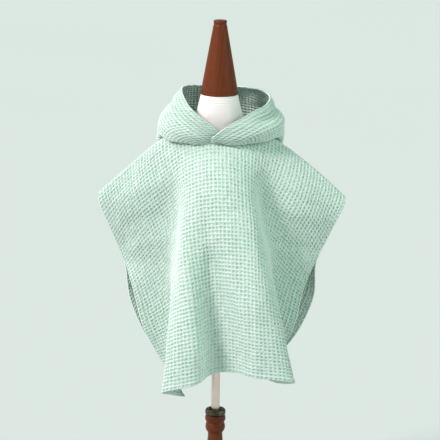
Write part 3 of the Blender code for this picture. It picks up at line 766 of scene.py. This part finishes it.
def turnedWood(name, light, middle, dark, seedShift):
    # growth rings round a pith that leans off the axis, long pores, and a rubbed satin lacquer
    finish = Finish(name, Coat_Roughness=0.34, Specular_IOR_Level=0.10)
    moved = finish.node("ShaderNodeMapping", {}, {"Vector": finish.place, "Location": (0.05, seedShift, 0.0),
                                                   "Rotation": (0.05, 0.03, 0.0)})
    swirl = finish.noise(finish.stretch(moved, (14, 14, 2.2)), 1.0, 4.0, 0.6)
    x, y = finish.split(moved)
    reach = (x * x + y * y) ** 0.5
    rings = reach * 900.0 + swirl * 22.0
    grain = rings.of("SINE") * 0.5 + 0.5
    streak = finish.noise(finish.stretch(moved, (240, 240, 7)), 1.0, 4.0, 0.6)
    pores = finish.noise(finish.stretch(moved, (900, 900, 22)), 1.0, 2.0, 0.5)
    colour = finish.node("ShaderNodeValToRGB", {"stops": ((0.0, dark), (1.0, light), (0.45, middle))},
                         {0: grain * 0.35 + streak * 0.65})
    colour = finish.mix(finish.range(pores, 0.56, 0.70, 0.0, 0.55), colour, tuple(c * 0.45 for c in dark))
    tone = finish.noise(finish.stretch(moved, (7, 7, 5)), 1.0, 2.0)
    colour = finish.mix(finish.range(tone, 0.3, 0.7, 0.50, 0.80), colour, middle)
    smear = finish.noise(finish.place, 60.0, 3.0)
    finish.feed(Base_Color=colour, Roughness=finish.range(smear, 0.3, 0.7, 0.34, 0.50),
                Coat_Weight=finish.range(smear, 0.2, 0.8, 0.08, 0.18),
                Normal=finish.bump(streak * 0.4 - pores * 0.6, 0.0002, 0.5))
    return finish.made


def brushedSteel():
    finish = Finish("brushedSteel", Metallic=1.0, Anisotropic=0.3)
    lines = finish.noise(finish.stretch(finish.place, (60, 60, 2600)), 1.0, 3.0, 0.6)
    smear = finish.noise(finish.place, 14.0, 3.0)
    colour = finish.mix(finish.range(lines, 0.3, 0.7), (0.72, 0.56, 0.50), (0.86, 0.71, 0.65))
    finish.feed(Base_Color=colour, Roughness=finish.range(smear + lines * 0.4, 0.3, 1.0, 0.26, 0.42),
                Normal=finish.bump(lines, 0.00008, 0.5))
    return finish.made


def agedBronze():
    finish = Finish("agedBronze", Metallic=0.9)
    patina = finish.noise(finish.place, 90.0, 5.0, 0.65)
    lines = finish.noise(finish.stretch(finish.place, (40, 40, 1800)), 1.0, 2.0)
    colour = finish.mix(finish.range(patina, 0.35, 0.68), (0.145, 0.105, 0.062), (0.050, 0.040, 0.030))
    finish.feed(Base_Color=colour, Roughness=finish.range(patina, 0.3, 0.7, 0.30, 0.55),
                Normal=finish.bump(lines + patina * 0.6, 0.0001, 0.6))
    return finish.made


def backdropPaper():
    finish = Finish("backdropPaper", Roughness=0.9, Specular_IOR_Level=0.1)
    cloud = finish.noise(finish.place, 0.35, 2.0)
    finish.feed(Base_Color=finish.mix(cloud, (0.530, 0.542, 0.542), (0.550, 0.562, 0.562)))
    return finish.made


finialShape = {
    "profile": ((0.0, 0.0), (0.0, 0.0436), (0.0010, 0.0446), (0.0158, 0.0424), (0.0858, 0.0300),
                (0.1608, 0.0166), (0.1678, 0.0152), (0.1708, 0.0158), (0.1743, 0.0156), (0.1760, 0.0140),
                (0.1764, 0.0)),
    "grooves": (0.0060, 0.0085, 0.1660),
}
columnShape = {   # height above the base and radius
    "profile": ((0.0, 0.0), (0.0, 0.0400), (0.0048, 0.0430), (0.0128, 0.0430), (0.0178, 0.0390),
                (0.0238, 0.0290), (0.0318, 0.0240), (0.0398, 0.0245), (0.0478, 0.0300), (0.0638, 0.0365),
                (0.0858, 0.0400), (0.1128, 0.0390), (0.1428, 0.0340), (0.1778, 0.0275), (0.2078, 0.0232),
                (0.2298, 0.0205), (0.2478, 0.0182), (0.2578, 0.0175), (0.2638, 0.0190), (0.2678, 0.0222),
                (0.2738, 0.0240), (0.2808, 0.0240), (0.2858, 0.0224), (0.2878, 0.0214), (0.2898, 0.0226),
                (0.2948, 0.0250), (0.3008, 0.0252), (0.3058, 0.0238), (0.3078, 0.0220), (0.3078, 0.0)),
    "grooves": (0.0155, 0.0560, 0.2440, 0.2600),
}
baseShape = {
    "profile": ((0.0, 0.0), (0.0, 0.1480), (0.0030, 0.1510), (0.0110, 0.1520), (0.0150, 0.1500),
                (0.0170, 0.1440), (0.0190, 0.1300), (0.0230, 0.0980), (0.0280, 0.0640), (0.0320, 0.0520),
                (0.0320, 0.0)),
    "grooves": (0.0135,),
}
poleShape = {
    "profile": ((0.0, 0.0), (0.0, 0.0099), (0.0004, 0.0103), (0.2632, 0.0103), (0.2636, 0.0099),
                (0.2636, 0.0)),
    "grooves": (),
}
collarShape = {
    "profile": ((0.0, 0.0130), (0.0, 0.0232), (0.0028, 0.0252), (0.0088, 0.0252), (0.0128, 0.0236),
                (0.0138, 0.0205), (0.0128, 0.0150), (0.0098, 0.0130)),
    "grooves": (0.0058,),
}
turnedGroove = {"depth": 0.0007, "width": 0.0009, "leastRadius": 0.008}
torsoShape = {
    "sections": (   # height, half width, half depth
        (0.604, 0.060, 0.048), (0.606, 0.098, 0.070), (0.618, 0.116, 0.082), (0.650, 0.120, 0.086),
        (0.710, 0.115, 0.081), (0.780, 0.111, 0.077), (0.850, 0.115, 0.080), (0.910, 0.121, 0.080),
        (0.950, 0.125, 0.074), (0.980, 0.1285, 0.066), (1.0024, 0.125, 0.056), (1.0186, 0.113, 0.050),
        (1.0326, 0.097, 0.045), (1.0462, 0.0765, 0.042), (1.060, 0.064, 0.0435), (1.086, 0.056, 0.0460),
        (1.112, 0.049, 0.0455), (1.1340, 0.0440, 0.0440)),
    "rings": (1.1180, 1.1232, 1.1284),   # fine rings stitched round the top of the neck
    "ringDepth": 0.0007,
    "ringWidth": 0.0008,
    "foot": 0.02,             # height of the rounded foot
    "neck": 1.10,             # finer steps from here up
    "step": 0.004,
    "fineStep": 0.00065,
    "topRounding": 0.0006,
    "wrapRadius": 0.1,        # the cover's knit is laid on as if round this radius
}


def smoothPiece(name, sheet, finish):
    bmesh.ops.recalc_face_normals(sheet, faces=sheet.faces)
    for face in sheet.faces:
        face.smooth = True
    mesh = bpy.data.meshes.new(name)
    sheet.to_mesh(mesh)
    sheet.free()
    mesh.materials.append(finish)
    return placed(name, mesh)


def easedProfile(profile, closed, spacing):
    # corners cut twice, then walked at an even spacing; the ends of an open profile stay where they are
    points = np.array(profile, float)
    for _ in range(2):
        ahead = np.roll(points, -1, axis=0) if closed else points[1:]
        behind = points if closed else points[:-1]
        cut = np.stack((behind * 0.75 + ahead * 0.25, behind * 0.25 + ahead * 0.75), axis=1).reshape(-1, 2)
        points = cut if closed else np.concatenate((points[:1], cut, points[-1:]))
    if closed:
        points = np.concatenate((points, points[:1]))
    far = np.concatenate(([0.0], np.cumsum(np.linalg.norm(np.diff(points, axis=0), axis=1))))
    walk = np.unique(np.round(np.concatenate((np.arange(0.0, far[-1], spacing), far)), 7))
    walk = walk[np.concatenate(([True], np.diff(walk) > 0.00008))]
    return np.stack([np.interp(walk, far, points[:, k]) for k in range(2)], axis=1)


def turnedPiece(name, shape, node, finish, spacing=0.0016, segments=96):
    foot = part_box(node)[0].z
    closed = shape["profile"][0][1] > 0
    profile = easedProfile(shape["profile"], closed, spacing)
    if closed:
        profile = profile[:-1]
    for groove in shape["grooves"]:
        cut = np.exp(-((profile[:, 0] - groove) / turnedGroove["width"]) ** 2)
        profile[:, 1] -= turnedGroove["depth"] * cut * (profile[:, 1] > turnedGroove["leastRadius"])
    sheet = bmesh.new()
    loops = []
    for z, radius in profile:
        turns = [0.0] if radius < 1e-6 else np.arange(segments) * 2 * math.pi / segments
        loops.append([sheet.verts.new((radius * math.cos(t), radius * math.sin(t), foot + z)) for t in turns])
    for low, high in zip(loops, loops[1:] + (loops[:1] if closed else [])):
        for k in range(segments):
            n = (k + 1) % segments
            ring = [low[k % len(low)], low[n % len(low)], high[n % len(high)], high[k % len(high)]]
            ring = [v for i, v in enumerate(ring) if v is not ring[i - 1]]
            if len(ring) > 2:
                sheet.faces.new(ring)
    return smoothPiece(name, sheet, finish)


def torsoPiece(name, finish, segments=144):
    table = np.array(torsoShape["sections"])
    low, high = table[0, 0], table[-1, 0]
    foot, neck, rounding = low + torsoShape["foot"], torsoShape["neck"], torsoShape["topRounding"]
    heights = np.unique(np.round(np.concatenate((
        np.linspace(low, foot, 16), np.arange(foot, neck, torsoShape["step"]),
        np.arange(neck, high - 0.001, torsoShape["fineStep"]), [high - rounding, high])), 5))
    sizes = spline(table[:, :1], table[:, None, 1:] * np.ones((1, len(heights), 1)), heights)
    for ring in torsoShape["rings"]:
        sizes -= torsoShape["ringDepth"] * np.exp(-((heights - ring) / torsoShape["ringWidth"]) ** 2)[:, None]
    sizes[-1] -= rounding
    turns = np.arange(segments) * 2 * math.pi / segments
    sheet = bmesh.new()
    layer = sheet.loops.layers.uv.new("flatCut")
    loops = []
    for z, (wide, deep) in zip(heights, sizes):
        loops.append([sheet.verts.new((wide * math.cos(t), deep * math.sin(t), z)) for t in turns])
    for row, (below, above) in enumerate(zip(loops, loops[1:])):
        for k in range(segments):
            n = (k + 1) % segments
            face = sheet.faces.new((below[k], below[n], above[n], above[k]))
            for loop, u, v in zip(face.loops, (k, k + 1, k + 1, k), (row, row, row + 1, row + 1)):
                loop[layer].uv = (u * 2 * math.pi * torsoShape["wrapRadius"] / segments, heights[v])
    for ring, z in ((loops[0], low), (loops[-1], high)):
        centre = sheet.verts.new((0.0, 0.0, z))
        for k in range(segments):
            face = sheet.faces.new((ring[k], ring[(k + 1) % segments], centre))
            for loop in face.loops:
                loop[layer].uv = (loop.vert.co.x, loop.vert.co.y)
    return smoothPiece(name, sheet, finish)


hemStitch = {"Stitch Length": 0.0032, "Gap": 0.0010, "Thread Radius": 0.00032, "Lift": 0.0001, "Rise": 0.0009,
             "Crossways": 0.0}
sideTack = {"Stitch Length": 0.0096, "Gap": -0.0089, "Thread Radius": 0.00034, "Lift": 0.0004, "Rise": 0.0030,
            "Crossways": 1.0}
tackPlace = {"down": 0.17, "height": 0.013, "points": 12, "inward": 0.98}


def stitchTree(finish):
    # lays short threads along a path whose points carry the way up
    tree = bpy.data.node_groups.new("stitchRow", "GeometryNodeTree")
    sockets = tree.interface
    sockets.new_socket("Geometry", in_out="INPUT", socket_type="NodeSocketGeometry")
    for label in hemStitch:
        sockets.new_socket(label, in_out="INPUT", socket_type="NodeSocketFloat")
    sockets.new_socket("Geometry", in_out="OUTPUT", socket_type="NodeSocketGeometry")
    graph = Graph(tree)
    inputs = tree.nodes.new("NodeGroupInput")
    path, length, gap, thread, lift, rise, crossways = (Wired(graph, inputs.outputs[k]) for k in range(7))
    curve = graph.node("GeometryNodeMeshToCurve", {}, {0: path})
    even = graph.node("GeometryNodeResampleCurve", {"mode": "LENGTH"}, {0: curve, "Length": length + gap})
    tangent = graph.node("GeometryNodeInputTangent", {}, {})
    up = graph.node("GeometryNodeInputNamedAttribute", {"data_type": "FLOAT_VECTOR"}, {"Name": "wayUp"})
    along = graph.node("FunctionNodeAlignRotationToVector", {"axis": "X"}, {"Vector": tangent})
    stand = graph.node("FunctionNodeAlignRotationToVector", {"axis": "Z", "pivot_axis": "X"},
                       {"Rotation": along, "Vector": up})
    turned = graph.node("FunctionNodeRotateRotation", {"rotation_space": "LOCAL"},
                        {0: stand, 1: graph.node("FunctionNodeEulerToRotation", {}, {0: graph.node(
                            "ShaderNodeCombineXYZ", {}, {2: crossways * (math.pi / 2)})})})
    half = length * 0.5
    ends = [graph.node("ShaderNodeCombineXYZ", {}, {0: x, 2: z}) for x, z in (
        (half * -1.0, thread * -1.2), (half * 0.0, rise), (half, thread * -1.2))]
    arc = graph.node("GeometryNodeCurveQuadraticBezier", {},
                     {"Resolution": 4, "Start": ends[0], "Middle": ends[1], "End": ends[2]})
    ring = graph.node("GeometryNodeCurvePrimitiveCircle", {}, {"Resolution": 6, "Radius": thread})
    one = graph.node("GeometryNodeCurveToMesh", {}, {"Curve": arc, "Profile Curve": ring, "Fill Caps": True})
    shift = graph.node("ShaderNodeVectorMath", {"operation": "SCALE"}, {0: up, "Scale": lift})
    raised = graph.node("GeometryNodeSetPosition", {}, {"Geometry": even, "Offset": shift})
    many = graph.node("GeometryNodeInstanceOnPoints", {},
                      {"Points": raised, "Instance": one, "Rotation": turned})
    real = graph.node("GeometryNodeRealizeInstances", {}, {"Geometry": many})
    soft = graph.node("GeometryNodeSetShadeSmooth", {}, {"Geometry": real})
    painted = graph.node("GeometryNodeSetMaterial", {}, {"Geometry": soft, "Material": finish})
    outputs = tree.nodes.new("NodeGroupOutput")
    tree.links.new(painted.socket, outputs.inputs[0])
    return tree


def stitchPiece(name, paths, tree, sizes):
    # paths: lists of (point, way up)
    verts, edges, ups = [], [], []
    for path in paths:
        start = len(verts)
        verts += [tuple(map(float, p)) for p, _ in path]
        ups += [tuple(map(float, n)) for _, n in path]
        edges += [(start + k, start + k + 1) for k in range(len(path) - 1)]
    mesh = bpy.data.meshes.new(name)
    mesh.from_pydata(verts, edges, [])
    mark = mesh.attributes.new("wayUp", "FLOAT_VECTOR", "POINT")
    mark.data.foreach_set("vector", np.array(ups, np.float32).ravel())
    made = placed(name, mesh)
    rows = made.modifiers.new("stitches", "NODES")
    rows.node_group = tree
    for socket in tree.interface.items_tree:
        if socket.in_out == "INPUT" and socket.name in sizes:
            rows[socket.identifier] = sizes[socket.name]
    baked = bpy.data.meshes.new_from_object(made.evaluated_get(bpy.context.evaluated_depsgraph_get()))
    made.modifiers.clear()
    made.data = baked
    baked.name = name
    return made


def tackPaths():
    # where the side edges of front and back are tacked together, over both edges
    half, count, paths = tackPlace["height"] / 2, tackPlace["points"], []
    down = np.linspace(tackPlace["down"] - half, tackPlace["down"] + half, count)
    for sign in (-1, 1):
        across = np.full(count, sign * poncho["width"] / 2)
        edge, inward = [(panelPlace(frontFolds, -1, across * share, down)
                         + panelPlace(backFolds, 1, across * share, down)) / 2
                        for share in (1.0, tackPlace["inward"])]
        out = unit(edge - inward)
        paths.append(list(zip(edge + out * waffle["edgeBulge"], out)))
    return paths


# widths; the side rows start below "top", and "shoulder" is a row along the shoulder, if any
frontHems = {"left": 0.017, "right": 0.011, "bottom": 0.015, "top": 0.003, "shoulder": 0.0}
backHems = {"left": 0.012, "right": 0.012, "bottom": 0.015, "top": 0.003, "shoulder": 0.006}
hoodHem = 0.012

cloth = waffleCotton()
thread = mintThread()
tree = stitchTree(thread)
pieces = {}
pieces["frontPanel"], frontPaths = panelPiece("frontPanel", frontFolds, frontCreases, -1, poncho["neckFront"],
                                              frontHems, 11)
pieces["backPanel"], backPaths = panelPiece("backPanel", backFolds, backCreases, 1, poncho["neckBack"],
                                            backHems, 23)
print("panels", [len(pieces[k].data.polygons) for k in ("frontPanel", "backPanel")])
pieces["hoodLeft"], leftPaths = hoodPiece("hoodLeft", hoodLeft, -1, hoodCreases["left"], hoodHem, 31)
pieces["hoodRight"], rightPaths = hoodPiece("hoodRight", hoodRight, 1, hoodCreases["right"], hoodHem, 47)
print("hood", [len(pieces[k].data.polygons) for k in ("hoodLeft", "hoodRight")])
for made in pieces.values():
    made.data.materials.append(cloth)
threads = {
    "frontStitches": stitchPiece("frontStitches", frontPaths, tree, hemStitch),
    "backStitches": stitchPiece("backStitches", backPaths, tree, hemStitch),
    "hoodLeftStitches": stitchPiece("hoodLeftStitches", leftPaths, tree, hemStitch),
    "hoodRightStitches": stitchPiece("hoodRightStitches", rightPaths, tree, hemStitch),
    "sideTacks": stitchPiece("sideTacks", tackPaths(), tree, sideTack),
}
print("stitches", {k: len(o.data.polygons) for k, o in threads.items()})
stand = {
    "torso": torsoPiece("torso", jerseyCover()),
    "finialCone": turnedPiece("finialCone", finialShape, "finial",
                              turnedWood("walnutLacquer", (0.235, 0.062, 0.026), (0.135, 0.028, 0.009),
                                         (0.062, 0.010, 0.002), 0.02)),
    "steelPole": turnedPiece("steelPole", poleShape, "pole", brushedSteel(), segments=64),
    "bronzeCollar": turnedPiece("bronzeCollar", collarShape, "collar", agedBronze(), spacing=0.0008),
    "turnedColumn": turnedPiece("turnedColumn", columnShape, "column",
                                turnedWood("columnLacquer", (0.180, 0.046, 0.018), (0.115, 0.026, 0.009),
                                           (0.055, 0.014, 0.007), 0.31)),
    "roundBase": turnedPiece("roundBase", baseShape, "base",
                             turnedWood("baseLacquer", (0.155, 0.046, 0.021), (0.100, 0.028, 0.013),
                                        (0.052, 0.013, 0.006), 0.57), spacing=0.003, segments=128),
}
print("stand", {k: len(o.data.polygons) for k, o in stand.items()})

nodes = {
    "frontPanel": ("front_panel", "mint waffle cotton"), "backPanel": ("back_panel", "mint waffle cotton"),
    "hoodLeft": ("hood_left_half", "mint waffle cotton"),
    "hoodRight": ("hood_right_half", "mint waffle cotton"),
    "torso": ("form_torso", "white jersey cover"), "finialCone": ("finial", "turned walnut"),
    "steelPole": ("pole", "brushed steel"), "bronzeCollar": ("collar", "aged bronze"),
    "turnedColumn": ("column", "column wood"), "roundBase": ("base", "base wood"),
}
for name, made in {**pieces, **threads, **stand}.items():
    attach(made, "root")
    if name in nodes:
        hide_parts(nodes[name][0])

studio = {
    "floorRadius": 16.0,
    "suns": (   # turn from the front (left is minus), height, strength, size in degrees, colour
        ("key", -52.0, 36.0, 2.75, 16.0, (1.0, 0.930, 0.945)),
        ("leftSide", -106.0, 42.0, 2.05, 30.0, (1.0, 0.935, 0.945)),
        ("rightFill", 66.0, 28.0, 1.20, 30.0, (0.86, 1.0, 0.92))),
    "sky": (0.500, 0.860, 0.690),
    "skyLight": 0.46,
    "skySeen": (0.730, 0.830, 0.780),   # past the edge of the floor
}
view = {   # metres and degrees, the lens in millimetres
    "target": (0.0, 0.0, 0.828),
    "distance": 5.0,
    "down": 13.0,
    "lean": 0.72,
    "lens": 170.45,
    "shift": 0.005,
}


def studioFloor():
    sheet = bmesh.new()
    bmesh.ops.create_circle(sheet, cap_ends=True, radius=studio["floorRadius"], segments=96)
    mesh = bpy.data.meshes.new("studioFloor")
    sheet.to_mesh(mesh)
    sheet.free()
    mesh.materials.append(backdropPaper())
    floor = placed("studioFloor", mesh)


def studioLight():
    for name, turn, height, strength, size, colour in studio["suns"]:
        sun = bpy.data.lights.new(name, "SUN")
        sun.energy, sun.angle = strength, math.radians(size)
        sun.color = colour
        placed(name, sun).rotation_euler = (math.radians(90 - height), 0.0, math.radians(turn))
    world = bpy.data.worlds.new("studio")
    world.use_nodes = True
    scene.world = world
    graph = Graph(world.node_tree)
    seen = graph.node("ShaderNodeLightPath", {}, {}, 0)
    colour = graph.mix(seen, tuple(c * studio["skyLight"] for c in studio["sky"]), studio["skySeen"])
    world.node_tree.links.new(colour.socket, world.node_tree.nodes["Background"].inputs["Color"])


def camera():
    lens = bpy.data.cameras.new("camera")
    lens.lens, lens.shift_x = view["lens"], view["shift"]
    lens.clip_end = 100.0
    down = math.radians(view["down"])
    turn = Matrix.Rotation(math.pi / 2 - down, 4, "X") @ Matrix.Rotation(math.radians(view["lean"]), 4, "Z")
    place = Vector(view["target"]) + view["distance"] * Vector((0.0, -math.cos(down), math.sin(down)))
    scene.camera = placed("camera", lens)
    scene.camera.matrix_world = Matrix.Translation(place) @ turn


studioFloor()
studioLight()
camera()
